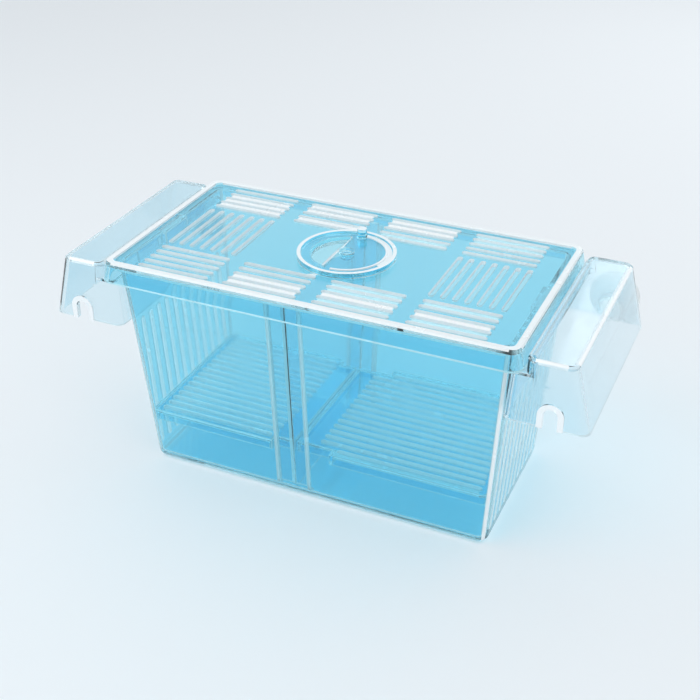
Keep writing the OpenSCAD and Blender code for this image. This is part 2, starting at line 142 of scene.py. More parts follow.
class FloorSizes(bpy.types.PropertyGroup):
    """Sizes of the two slotted grid floors."""

    top: millimetres("Top", "Height of the upper side above the table", 30)
    thick: millimetres("Thickness", "Thickness of the plate", 2)
    skirt: millimetres("Skirt depth", "Depth of the skirt with the plate", 6)
    skirt_wall: millimetres("Skirt wall", "Thickness of the skirt", 1.5)
    gap: millimetres("Gap", "Gap between a floor and the tank or divider", 0.3)
    divider: millimetres("Divider", "Half the divider's thickness", 0.8)
    slots: IntProperty(name="Slots", description="Number of lengthwise slots", default=16)
    pitch: millimetres("Pitch", "Distance between the slots", 5)
    slot_width: millimetres("Slot width", "Width of a slot", 2.4)
    margin: millimetres("End margin", "Plain margin beside the end wall", 4.5)
    head: millimetres("Divider margin", "Plain margin beside the divider", 10.5)
    left_cut: millimetres("Left cut-out", "Length of the left floor's cut-outs", 11)
    right_cut: millimetres("Right cut-out", "Length of the right floor's cut-outs", 20)
    cut_depth: millimetres("Cut-out depth", "Depth of the cut-outs round the flange", 5.4)
    cut_rib: millimetres("Rib", "Plastic between a cut-out and the slots beside it", 1)


class LidSizes(bpy.types.PropertyGroup):
    """Sizes of the lid, its slots and the ring for the hatch."""

    low: millimetres("Plate", "Height of the plate's underside", 114.2)
    thick: millimetres("Thickness", "Thickness of the plate", 2)
    side: millimetres("Overhang", "How far the plate reaches past the tank's rim", 4.5)
    skirt: millimetres("Skirt depth", "Depth of the skirt with the plate", 9)
    wall: millimetres("Skirt wall", "Thickness of the skirt", 1.8)
    lean: FloatProperty(name="Lean", description="How far the skirt leans out by its depth", default=0.22)
    corner: millimetres("Corner", "Radius of the corners", 4.5)
    border: millimetres("Border width", "Width of the raised border", 3)
    border_high: millimetres("Border height", "Height of the raised border", 1)
    border_lean: FloatProperty(name="Border lean", description="How far the border leans in", default=0.5)
    slot_width: millimetres("Slot width", "Width of every slot", 2.6)
    row_slots: IntProperty(name="Row slots", description="Slots in each front and back panel", default=5)
    row_pitch: millimetres("Row pitch", "Distance between those slots", 5.3)
    row_margin: millimetres("Row margin", "From the lid's edge to the outermost slot", 6.8)
    panels: IntProperty(name="Panels", description="Slot panels along each long side", default=4)
    strip: millimetres("Strip", "Width of the plain strips between the panels", 8)
    end_margin: millimetres("End margin", "Plain margin beside the end panels", 16)
    end_slots: IntProperty(name="End slots", description="Slots in each end panel", default=7)
    end_gap: millimetres("End gap", "Plain strip between an end panel and the rows", 4)
    ring: millimetres("Ring radius", "Outer radius of the hatch's ring", 24)
    ring_wall: millimetres("Ring wall", "Thickness of the ring", 1.8)
    ring_high: millimetres("Ring height", "Height of the ring above the plate", 2.6)
    bore: millimetres("Bore radius", "Radius of the pivot's bore", 2.56)
    moon: millimetres("Opening radius", "Radius of the curved side of the opening", 17)
    moon_edge: millimetres("Opening edge", "From the middle to the opening's straight side", 4.4)


class PlasticSettings(bpy.types.PropertyGroup):
    """Sizes and colours of the clear moulded plastic."""

    tint: FloatVectorProperty(
        name="Tint",
        description="Share of the light that passes one wall",
        subtype="COLOR",
        size=3,
        min=0,
        max=1,
        default=(0.50, 0.865, 0.965),
    )
    # Painted highlight: near-white colour of the rounded edges, slot walls and wall ends, standing in for
    # the light that clear plastic shows at its edges
    edge_highlight_colour: FloatVectorProperty(
        name="Edge colour",
        description="Colour of the bright rounded edges",
        subtype="COLOR",
        size=3,
        min=0,
        max=1,
        default=(0.95, 0.985, 1.0),
    )
    edge_radius: FloatProperty(
        name="Edge radius",
        description="Radius of the rounded edges of a moulding",
        subtype="DISTANCE",
        unit="LENGTH",
        min=0.1 * MM,
        max=0.8 * MM,
        default=0.6 * MM,
    )
    # Painted highlight: faces narrower than this at a wall's end take the whitened edge material
    end_width: millimetres("End width", "Width up to which a face counts as a wall's bright end", 2.6)
    # Paler tint of the floats and the divider; on the divider it is a painted sheen, standing in for the
    # reflection seen on its face
    pale_tint: FloatVectorProperty(
        name="Pale tint",
        description="Share of the light that passes one wall of a float or the divider",
        subtype="COLOR",
        size=3,
        min=0,
        max=1,
        default=(0.78, 0.92, 0.97),
    )
    roughness: FloatProperty(
        name="Roughness",
        description="Roughness of the polished faces",
        subtype="FACTOR",
        min=0,
        max=1,
        default=0.04,
    )


class StageSettings(bpy.types.PropertyGroup):
    """The camera's place and the light."""

    azimuth: FloatProperty(
        name="Azimuth",
        description="Camera's angle round the box, 0 looks along +Y",
        subtype="ANGLE",
        default=math.radians(24),
    )
    elevation: FloatProperty(
        name="Elevation",
        description="Camera's angle above the floor",
        subtype="ANGLE",
        default=math.radians(31),
    )
    distance: FloatProperty(
        name="Distance",
        description="Distance from the camera to the middle of the box",
        subtype="DISTANCE",
        unit="LENGTH",
        default=0.6,
    )
    lens: FloatProperty(
        name="Lens",
        description="Focal length in millimetres",
        default=61,
    )
    floor_colour: FloatVectorProperty(
        name="Floor colour",
        description="Colour of the plain floor",
        subtype="COLOR",
        size=3,
        min=0,
        max=1,
        default=(0.86, 0.90, 0.93),
    )
    soft_light: FloatProperty(
        name="Soft light",
        description="Strength of the light from all round",
        default=0.74,
    )
    seen_light: FloatProperty(
        name="Seen light",
        description="Strength at which the backdrop is seen directly or in the plastic",
        default=0.95,
    )
    key_power: FloatProperty(
        name="Key power",
        description="Power of the large lamp in watts",
        default=4.2,
    )


def node_of(tree, kind, **inputs):
    """Adds a node and sets its plain inputs by name, with _ for a space."""
    made = tree.nodes.new(kind)
    for name, value in inputs.items():
        made.inputs[name.replace("_", " ")].default_value = value
    return made


def new_material(name):
    """An empty node material with its output."""
    material = bpy.data.materials.new(name)
    material.use_nodes = True
    material.node_tree.nodes.clear()
    output = material.node_tree.nodes.new("ShaderNodeOutputMaterial")
    return material, material.node_tree, output


def moulded_surface_group():
    """Shader group: handling smudges, slight ripples and tint drift of a polished moulding."""
    name = "Moulded surface"
    if name in bpy.data.node_groups:
        return bpy.data.node_groups[name]
    group = bpy.data.node_groups.new(name, "ShaderNodeTree")
    face = group.interface
    colour_in = face.new_socket(name="Tint", in_out="INPUT", socket_type="NodeSocketColor")
    colour_in.default_value = (0.7, 0.88, 0.95, 1)
    for socket, value in (
        ("Drift", 0.05),
        ("Drift scale", 14),
        ("Polished", 0.04),
        ("Smudged", 0.16),
        ("Smudge scale", 42),
        ("Ripple scale", 60),
        ("Scratch scale", 900),
    ):
        made = face.new_socket(name=socket, in_out="INPUT", socket_type="NodeSocketFloat")
        made.default_value = value
    face.new_socket(name="Colour", in_out="OUTPUT", socket_type="NodeSocketColor")
    face.new_socket(name="Roughness", in_out="OUTPUT", socket_type="NodeSocketFloat")
    face.new_socket(name="Height", in_out="OUTPUT", socket_type="NodeSocketFloat")
    link = group.links.new
    start = group.nodes.new("NodeGroupInput")
    end = group.nodes.new("NodeGroupOutput")
    place = group.nodes.new("ShaderNodeTexCoord")

    drift = node_of(group, "ShaderNodeTexNoise", Detail=2.0, Roughness=0.4)
    link(place.outputs["Object"], drift.inputs["Vector"])
    link(start.outputs["Drift scale"], drift.inputs["Scale"])
    level = group.nodes.new("ShaderNodeMapRange")
    level.inputs["From Min"].default_value = 0.3
    level.inputs["From Max"].default_value = 0.7
    level.inputs["To Min"].default_value = 0.0
    link(drift.outputs["Fac"], level.inputs["Value"])
    link(start.outputs["Drift"], level.inputs["To Max"])
    paler = group.nodes.new("ShaderNodeMix")
    paler.data_type = "RGBA"
    link(level.outputs["Result"], paler.inputs["Factor"])
    link(start.outputs["Tint"], paler.inputs[6])
    paler.inputs[7].default_value = (1, 1, 1, 1)
    link(paler.outputs[2], end.inputs["Colour"])

    smudge = node_of(group, "ShaderNodeTexNoise", Detail=6.0, Roughness=0.62, Distortion=0.6)
    link(place.outputs["Object"], smudge.inputs["Vector"])
    link(start.outputs["Smudge scale"], smudge.inputs["Scale"])
    finish = group.nodes.new("ShaderNodeMapRange")
    finish.inputs["From Min"].default_value = 0.45
    finish.inputs["From Max"].default_value = 0.78
    link(smudge.outputs["Fac"], finish.inputs["Value"])
    link(start.outputs["Polished"], finish.inputs["To Min"])
    link(start.outputs["Smudged"], finish.inputs["To Max"])
    link(finish.outputs["Result"], end.inputs["Roughness"])

    ripple = node_of(group, "ShaderNodeTexNoise", Detail=1.0, Roughness=0.3)
    link(place.outputs["Object"], ripple.inputs["Vector"])
    link(start.outputs["Ripple scale"], ripple.inputs["Scale"])
    scratch = node_of(group, "ShaderNodeTexNoise", Detail=3.0, Roughness=0.7)
    link(place.outputs["Object"], scratch.inputs["Vector"])
    link(start.outputs["Scratch scale"], scratch.inputs["Scale"])
    fine = group.nodes.new("ShaderNodeMath")
    fine.operation = "MULTIPLY_ADD"
    fine.inputs[1].default_value = 0.03
    link(scratch.outputs["Fac"], fine.inputs[0])
    link(ripple.outputs["Fac"], fine.inputs[2])
    link(fine.outputs["Value"], end.inputs["Height"])
    return group


def clear_material(name, tint, transmission, polished, smudged, ripple, ior=1.5, drift=0.05):
    """Clear plastic that lets lamps through: tinted glass, and a tinted transparent for shadow rays."""
    material, tree, output = new_material(name)
    link = tree.links.new
    surface = tree.nodes.new("ShaderNodeGroup")
    surface.node_tree = moulded_surface_group()
    surface.inputs["Tint"].default_value = (*tint, 1)
    surface.inputs["Drift"].default_value = drift
    surface.inputs["Polished"].default_value = polished
    surface.inputs["Smudged"].default_value = smudged
    bump = tree.nodes.new("ShaderNodeBump")
    bump.inputs["Strength"].default_value = ripple
    bump.inputs["Distance"].default_value = 0.3 * MM
    link(surface.outputs["Height"], bump.inputs["Height"])
    body = tree.nodes.new("ShaderNodeBsdfPrincipled")
    body.inputs["IOR"].default_value = ior
    body.inputs["Transmission Weight"].default_value = transmission
    link(surface.outputs["Colour"], body.inputs["Base Color"])
    link(surface.outputs["Roughness"], body.inputs["Roughness"])
    link(bump.outputs["Normal"], body.inputs["Normal"])
    rays = tree.nodes.new("ShaderNodeLightPath")
    through = tree.nodes.new("ShaderNodeBsdfTransparent")
    through.inputs["Color"].default_value = (*[c ** SHADOW_SHARE for c in tint], 1)
    mix = tree.nodes.new("ShaderNodeMixShader")
    link(rays.outputs["Is Shadow Ray"], mix.inputs["Fac"])
    link(body.outputs["BSDF"], mix.inputs[1])
    link(through.outputs["BSDF"], mix.inputs[2])
    link(mix.outputs["Shader"], output.inputs["Surface"])
    return material


def clear_plastic(tint=None):
    """The polished tinted faces of a moulding, and its edges whitened as a painted highlight, each made
    once.
    """
    look = bpy.context.scene.breeding_box_plastic
    name = "clear_plastic_pale" if tint else "clear_plastic_faces"
    faces = bpy.data.materials.get(name)
    if faces is None:
        faces = clear_material(name, tint or look.tint, 1.0, look.roughness, 0.14, 0.08)
    # Painted highlight: the edges are a near-white, mostly opaque plastic that stands in for the light
    # clear plastic shows at its edges
    edges = bpy.data.materials.get("clear_plastic_edge_highlight")
    if edges is None:
        edges = clear_material("clear_plastic_edge_highlight", look.edge_highlight_colour, 0.15, 0.2, 0.35, 0.02)
    return faces, edges


def soft_pvc():
    """The soft clear PVC of the suction cups."""
    if "soft_pvc" in bpy.data.materials:
        return bpy.data.materials["soft_pvc"]
    return clear_material("soft_pvc", (0.86, 0.93, 0.95), 1.0, 0.04, 0.12, 0.08, 1.46)


def merged_copy(node, name):
    """A welded copy of a CAD node's mesh, with its flat faces joined."""
    work = bmesh.new()
    work.from_mesh(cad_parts[node].data)
    bmesh.ops.remove_doubles(work, verts=work.verts, dist=MERGE)
    bmesh.ops.dissolve_limit(
        work, angle_limit=FLAT_ANGLE, verts=work.verts, edges=work.edges
    )
    mesh = bpy.data.meshes.new(name)
    work.to_mesh(mesh)
    work.free()
    custom = mesh.attributes.get("custom_normal")
    if custom is not None:
        mesh.attributes.remove(custom)
    made = bpy.data.objects.new(name, mesh)
    bpy.context.scene.collection.objects.link(made)
    return made


def soften_edges(piece, radius, faces, edges, angle=30, walls=None):
    """Rounds the piece's edges. The rounding and the faces marked in walls take the second material."""
    mesh = piece.data
    mesh.materials.clear()
    mesh.materials.append(faces)
    mesh.materials.append(edges)
    indices = [int(wall) for wall in walls] if walls else [0] * len(mesh.polygons)
    mesh.polygons.foreach_set("material_index", indices)
    mesh.polygons.foreach_set("use_smooth", [True] * len(mesh.polygons))
    bevel = piece.modifiers.new("Soft edges", "BEVEL")
    bevel.limit_method = "ANGLE"
    bevel.angle_limit = math.radians(angle)
    bevel.width = radius
    bevel.segments = 3
    bevel.material = 1
    bevel.harden_normals = True
    bevel.use_clamp_overlap = True
    bake_modifiers(piece)


def bake_modifiers(piece):
    """Turns the piece's modifiers into a plain mesh."""
    graph = bpy.context.evaluated_depsgraph_get()
    mesh = bpy.data.meshes.new_from_object(piece.evaluated_get(graph), depsgraph=graph)
    if not mesh.polygons:
        raise RuntimeError(f"{piece.name} came out empty")
    mesh.name = piece.name
    piece.modifiers.clear()
    piece.data = mesh


def corner_loop(half_l, half_w, radius, z):
    """Points of an outline with round corners at a height, counter-clockwise from the front right."""
    points = []
    corners = (
        (half_l - radius, radius - half_w, -90),
        (half_l - radius, half_w - radius, 0),
        (radius - half_l, half_w - radius, 90),
        (radius - half_l, radius - half_w, 180),
    )
    for x, y, first in corners:
        for step in range(CORNER_STEPS + 1):
            angle = math.radians(first + 90 * step / CORNER_STEPS)
            points.append((x + radius * math.cos(angle), y + radius * math.sin(angle), z))
    return points


def circle_loop(radius, z, steps=72):
    """Points of a circle round the Z axis at a height."""
    turns = [math.tau * step / steps for step in range(steps)]
    return [(radius * math.cos(turn), radius * math.sin(turn), z) for turn in turns]


def add_shell(work, loops, closed=False):
    """Joins outlines with equal numbers of points into a shell, capped or closed on itself."""
    rings = [[work.verts.new(point) for point in loop] for loop in loops]
    pairs = list(zip(rings, rings[1:]))
    if closed:
        pairs.append((rings[-1], rings[0]))
    made = []
    for first, second in pairs:
        for i in range(len(first)):
            j = (i + 1) % len(first)
            made.append(work.faces.new((first[i], first[j], second[j], second[i])))
    if not closed:
        made.append(work.faces.new(list(reversed(rings[0]))))
        made.append(work.faces.new(rings[-1]))
    bmesh.ops.recalc_face_normals(work, faces=made)


def shell_object(name, *shells, closed=False):
    """An object with one shell for each list of outlines."""
    work = bmesh.new()
    for loops in shells:
        add_shell(work, loops, closed)
    mesh = bpy.data.meshes.new(name)
    work.to_mesh(mesh)
    work.free()
    made = bpy.data.objects.new(name, mesh)
    bpy.context.scene.collection.objects.link(made)
    return made


def carve(piece, tool, operation):
    """Joins a tool to the piece or cuts it out of it, and drops the tool."""
    cut = piece.modifiers.new("Carve", "BOOLEAN")
    cut.object = tool
    cut.operation = operation
    cut.solver = "EXACT"
    bake_modifiers(piece)
    bpy.data.objects.remove(tool)


def slot_field_tree():
    """Geometry Nodes tree that cuts a field of round-ended slots and gives their walls a material."""
    name = "Slot field"
    if name in bpy.data.node_groups:
        return bpy.data.node_groups[name]
    tree = bpy.data.node_groups.new(name, "GeometryNodeTree")
    face = tree.interface
    face.new_socket(name="Geometry", in_out="INPUT", socket_type="NodeSocketGeometry")
    for socket, kind, value in (
        ("Columns", "NodeSocketInt", 1),
        ("Rows", "NodeSocketInt", 5),
        ("Column pitch", "NodeSocketFloat", 40 * MM),
        ("Row pitch", "NodeSocketFloat", 5 * MM),
        ("Slot length", "NodeSocketFloat", 30 * MM),
        ("Slot width", "NodeSocketFloat", 2.6 * MM),
        ("Cut depth", "NodeSocketFloat", 6 * MM),
        ("Place", "NodeSocketVector", (0, 0, 0)),
        ("Turn", "NodeSocketRotation", (0, 0, 0)),
    ):
        face.new_socket(name=socket, in_out="INPUT", socket_type=kind).default_value = value
    face.new_socket(name="Plate material", in_out="INPUT", socket_type="NodeSocketMaterial")
    face.new_socket(name="Wall material", in_out="INPUT", socket_type="NodeSocketMaterial")
    face.new_socket(name="Geometry", in_out="OUTPUT", socket_type="NodeSocketGeometry")
    link = tree.links.new
    start = tree.nodes.new("NodeGroupInput")
    end = tree.nodes.new("NodeGroupOutput")

    def times(source, factor):
        made = tree.nodes.new("ShaderNodeMath")
        made.operation = "MULTIPLY"
        made.inputs[1].default_value = factor
        link(source, made.inputs[0])
        return made.outputs["Value"]

    def along(axis, source):
        made = tree.nodes.new("ShaderNodeCombineXYZ")
        link(source, made.inputs[axis])
        return made.outputs["Vector"]

    outline = tree.nodes.new("GeometryNodeCurvePrimitiveQuadrilateral")
    link(start.outputs["Slot length"], outline.inputs["Width"])
    link(start.outputs["Slot width"], outline.inputs["Height"])
    ends = tree.nodes.new("GeometryNodeFilletCurve")
    ends.mode = "POLY"
    ends.inputs["Count"].default_value = 5
    link(outline.outputs["Curve"], ends.inputs["Curve"])
    link(times(start.outputs["Slot width"], 0.4999), ends.inputs["Radius"])
    path = tree.nodes.new("GeometryNodeCurvePrimitiveLine")
    link(along("Z", times(start.outputs["Cut depth"], -0.5)), path.inputs["Start"])
    link(along("Z", times(start.outputs["Cut depth"], 0.5)), path.inputs["End"])
    cutter = tree.nodes.new("GeometryNodeCurveToMesh")
    cutter.inputs["Fill Caps"].default_value = True
    link(path.outputs["Curve"], cutter.inputs["Curve"])
    link(ends.outputs["Curve"], cutter.inputs["Profile Curve"])

    field = cutter.outputs["Mesh"]
    for count, pitch, axis in (("Rows", "Row pitch", "Y"), ("Columns", "Column pitch", "X")):
        line = tree.nodes.new("GeometryNodeMeshLine")
        link(start.outputs[count], line.inputs["Count"])
        link(along(axis, start.outputs[pitch]), line.inputs["Offset"])
        less = tree.nodes.new("ShaderNodeMath")
        less.operation = "SUBTRACT"
        less.inputs[1].default_value = 1
        link(start.outputs[count], less.inputs[0])
        span = tree.nodes.new("ShaderNodeMath")
        span.operation = "MULTIPLY"
        link(less.outputs["Value"], span.inputs[0])
        link(start.outputs[pitch], span.inputs[1])
        link(along(axis, times(span.outputs["Value"], -0.5)), line.inputs["Start Location"])
        copies = tree.nodes.new("GeometryNodeInstanceOnPoints")
        link(line.outputs["Mesh"], copies.inputs["Points"])
        link(field, copies.inputs["Instance"])
        field = copies.outputs["Instances"]
    solid = tree.nodes.new("GeometryNodeRealizeInstances")
    link(field, solid.inputs["Geometry"])
    placed = tree.nodes.new("GeometryNodeTransform")
    link(solid.outputs["Geometry"], placed.inputs["Geometry"])
    link(start.outputs["Place"], placed.inputs["Translation"])
    link(start.outputs["Turn"], placed.inputs["Rotation"])
    walls = tree.nodes.new("GeometryNodeSetMaterial")
    link(placed.outputs["Geometry"], walls.inputs["Geometry"])
    link(start.outputs["Wall material"], walls.inputs["Material"])
    cut = tree.nodes.new("GeometryNodeMeshBoolean")
    cut.operation = "DIFFERENCE"
    cut.solver = "EXACT"
    link(start.outputs["Geometry"], cut.inputs["Mesh 1"])
    link(walls.outputs["Geometry"], cut.inputs["Mesh 2"])
    result = tree.nodes.new("GeometryNodeRealizeInstances")
    link(cut.outputs["Mesh"], result.inputs["Geometry"])
    is_wall = tree.nodes.new("GeometryNodeMaterialSelection")
    link(start.outputs["Wall material"], is_wall.inputs["Material"])
    is_plate = tree.nodes.new("FunctionNodeBooleanMath")
    is_plate.operation = "NOT"
    link(is_wall.outputs["Selection"], is_plate.inputs[0])
    plate = tree.nodes.new("GeometryNodeSetMaterial")
    link(result.outputs["Geometry"], plate.inputs["Geometry"])
    link(is_plate.outputs["Boolean"], plate.inputs["Selection"])
    link(start.outputs["Plate material"], plate.inputs["Material"])
    link(plate.outputs["Geometry"], end.inputs["Geometry"])
    return tree


def cut_slots(piece, plate, walls, **inputs):
    """Cuts one field of slots into the piece. Inputs are named as in the tree, with _ for a space."""
    tree = slot_field_tree()
    keys = {
        item.name: item.identifier
        for item in tree.interface.items_tree
        if item.item_type == "SOCKET" and item.in_out == "INPUT"
    }
    field = piece.modifiers.new("Slot field", "NODES")
    field.node_group = tree
    for name, value in inputs.items():
        field[keys[name.replace("_", " ")]] = value
    field[keys["Plate material"]] = plate
    # The mouldings pass the whitened edge material here, so the slot walls are a painted highlight
    field[keys["Wall material"]] = walls


def join_flat_faces(piece):
    """Joins the coplanar faces that the cutting left and merges points that fall together."""
    work = bmesh.new()
    work.from_mesh(piece.data)
    bmesh.ops.remove_doubles(work, verts=work.verts, dist=MERGE)
    bmesh.ops.dissolve_limit(
        work, angle_limit=FLAT_ANGLE, verts=work.verts, edges=work.edges, delimit={"MATERIAL"}
    )
    work.to_mesh(piece.data)
    work.free()


def end_faces(mesh):
    """Marks the narrow faces where a clear wall ends, at which the light inside it comes out, so that they
    can take the whitened edge material as a painted highlight.
    """
    look = bpy.context.scene.breeding_box_plastic
    work = bmesh.new()
    work.from_mesh(mesh)
    marks = []
    for face in work.faces:
        around = face.calc_perimeter()
        sharp = sum(e.calc_length() for e in face.edges if e.calc_face_angle(0) > SHARP_ANGLE)
        marks.append(2 * face.calc_area() < look.end_width * around and sharp > SHARP_SHARE * around)
    work.free()
    return marks


def finish_moulding(piece, node, body, tint=None):
    """Rounds a piece's edges, keeps its slot walls and wall ends bright with the whitened edge material, a
    painted highlight, and hands it to the frame.
    """
    mesh = piece.data
    faces, edges = clear_plastic(tint)
    names = [material.name if material else "" for material in mesh.materials]
    bright = names.index(edges.name) if edges.name in names else -1
    ends = end_faces(mesh)
    # Painted highlight: slot walls and wall ends take the whitened edge material
    walls = [end or polygon.material_index == bright for end, polygon in zip(ends, mesh.polygons)]
    soften_edges(piece, bpy.context.scene.breeding_box_plastic.edge_radius, faces, edges, walls=walls)
    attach(piece, body)
    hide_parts(node)


def tank_half(z):
    """The tank's outer half length and half depth at a height."""
    tank = bpy.context.scene.breeding_box_tank
    lean = tank.draft * (tank.height - z)
    return tank.length / 2 - lean, tank.depth / 2 - lean


def grid_floor(name, middle, cut):
    """A slotted floor on the right of a divider at middle, with cut-outs that end at cut beyond it."""
    tank = bpy.context.scene.breeding_box_tank
    floor = bpy.context.scene.breeding_box_floor
    faces, edges = clear_plastic()
    low = floor.top - floor.skirt
    cut_y = tank_half(floor.top)[1] - tank.wall - floor.cut_depth

    def floor_loop(z, inset):
        x, y = tank_half(z)
        x -= tank.wall + floor.gap + inset
        y -= tank.wall + floor.gap + inset
        start = middle + floor.divider + floor.gap + inset
        cut_x = middle + cut + inset
        notch = cut_y - inset
        radius = tank.corner - tank.wall - inset / 2 + tank.draft * (z - low)
        ring = corner_loop(x, y, radius, z)
        right = ring[: 2 * (CORNER_STEPS + 1)]
        back = [(cut_x, y, z), (cut_x, notch, z), (start, notch, z)]
        return right + back + [(px, -py, pz) for px, py, pz in reversed(back)]

    piece = shell_object(
        name,
        [
            floor_loop(floor.top - floor.thick, floor.skirt_wall),
            floor_loop(low, floor.skirt_wall),
            floor_loop(low, 0),
            floor_loop(floor.top, 0),
        ],
    )
    end = tank_half(floor.top)[0] - tank.wall - floor.gap - floor.margin
    head = middle + floor.divider + floor.gap + floor.head
    beside = cut_y - floor.skirt_wall - floor.cut_rib - floor.slot_width / 2
    late_head = max(head, middle + cut + floor.skirt_wall + floor.cut_rib)
    places = [(i - (floor.slots - 1) / 2) * floor.pitch for i in range(floor.slots)]
    outer = [y for y in places if y > beside]
    fields = [(head, floor.slots - 2 * len(outer), floor.pitch)]
    fields += [(late_head, 2, 2 * y) for y in outer]
    for first, rows, pitch in fields:
        cut_slots(
            piece,
            faces,
            edges,
            Rows=rows,
            Row_pitch=pitch,
            Slot_length=end - first,
            Slot_width=floor.slot_width,
            Cut_depth=2 * floor.thick + 2 * OVER,
            Place=((first + end) / 2, 0, floor.top - floor.thick / 2),
        )
    bake_modifiers(piece)
    join_flat_faces(piece)
    return piece


def moulding(node, body, name, tint=None):
    """A soft-edged moulding with the shape of a CAD node."""
    finish_moulding(merged_copy(node, name), node, body, tint)


class BREEDINGBOX_OT_tank(bpy.types.Operator):
    """Makes the tapered tank."""

    bl_idname = "breeding_box.tank"
    bl_label = "Tank"

    def execute(self, context):
        tank = context.scene.breeding_box_tank
        faces, edges = clear_plastic()

        def wall_loop(z, inset):
            x, y = tank_half(z)
            return corner_loop(x - inset, y - inset, tank.corner - inset, z)

        def edge_loops(low, inset):
            loops = []
            for step in range(BASE_STEPS + 1):
                angle = math.pi / 2 * step / BASE_STEPS
                z = low + tank.base_edge * (1 - math.cos(angle))
                x, y = tank_half(z)
                inward = inset + tank.base_edge * (1 - math.sin(angle))
                loops.append(corner_loop(x - inward, y - inward, tank.corner - inset, z))
            return loops

        rim_x = tank.length / 2 + tank.rim_out
        rim_y = tank.depth / 2 + tank.rim_out
        rim_low = tank.height - tank.rim_thick
        inside = edge_loops(tank.base, tank.wall) + [wall_loop(tank.height, tank.wall)]
        rim_r = tank.corner + tank.rim_out
        rim = [corner_loop(rim_x, rim_y, rim_r, z) for z in (tank.height, rim_low)]
        outside = [wall_loop(rim_low, 0)] + list(reversed(edge_loops(0, 0)))
        piece = shell_object("tank_moulding", inside + rim + outside)

        low = tank.base + tank.base_edge
        top = tank.height - tank.rib_drop
        ribs = []
        foot = tank.base - tank.wall / 2
        foot_y = tank_half(tank.base)[1] - tank.wall - tank.base_edge
        low_y = tank_half(low)[1] - tank.wall
        top_y = tank_half(top)[1] - tank.wall
        for side in (-1, 1):
            profile = [
                (foot_y - tank.rib_out, foot),
                (low_y - tank.rib_out, low),
                (top_y - tank.rib_out, top),
                (top_y + tank.wall / 2, top),
                (low_y + tank.wall / 2, low),
                (foot_y, foot),
            ]
            for x in (-tank.rib_gap - tank.rib_width, tank.rib_gap):
                at = x - tank.divider_left
                ribs.append([[(x, side * y, z) for y, z in profile] for x in (at, at + tank.rib_width)])
        carve(piece, shell_object("ribs", *ribs), "UNION")

        half = tank.notch_width / 2
        notch_low = tank.height - tank.notch_depth
        square = [(tank.length, half), (-tank.length, half), (-tank.length, -half), (tank.length, -half)]
        notch = [[(x, y, z) for x, y in square] for z in (notch_low, tank.height + OVER)]
        carve(piece, shell_object("notches", notch), "DIFFERENCE")

        slot_top = tank.height - tank.slot_drop
        span = 2 * (tank_half(tank.slot_low)[1] - tank.slot_margin)
        cut_slots(
            piece,
            faces,
            edges,
            Rows=tank.slots,
            Row_pitch=span / (tank.slots - 1),
            Slot_length=slot_top - tank.slot_low,
            Slot_width=tank.slot_width,
            Cut_depth=tank.length + 4 * OVER,
            Place=(0, 0, (slot_top + tank.slot_low) / 2),
            Turn=(0, math.pi / 2, 0),
        )
        bake_modifiers(piece)
        join_flat_faces(piece)
        # Painted highlight: the middle strips of the round corners and the lower edge take the whitened
        # edge material
        bright = piece.data.materials.find(edges.name)
        for polygon in piece.data.polygons:
            x, y, z = polygon.normal
            upright = min(abs(x), abs(y)) > CORNER_HIGHLIGHT_SHARE
            under = UNDER_HIGHLIGHT_SHARES[0] < -z < UNDER_HIGHLIGHT_SHARES[1]
            if upright or under:
                polygon.material_index = bright
        finish_moulding(piece, "tank", "tank")
        return {"FINISHED"}


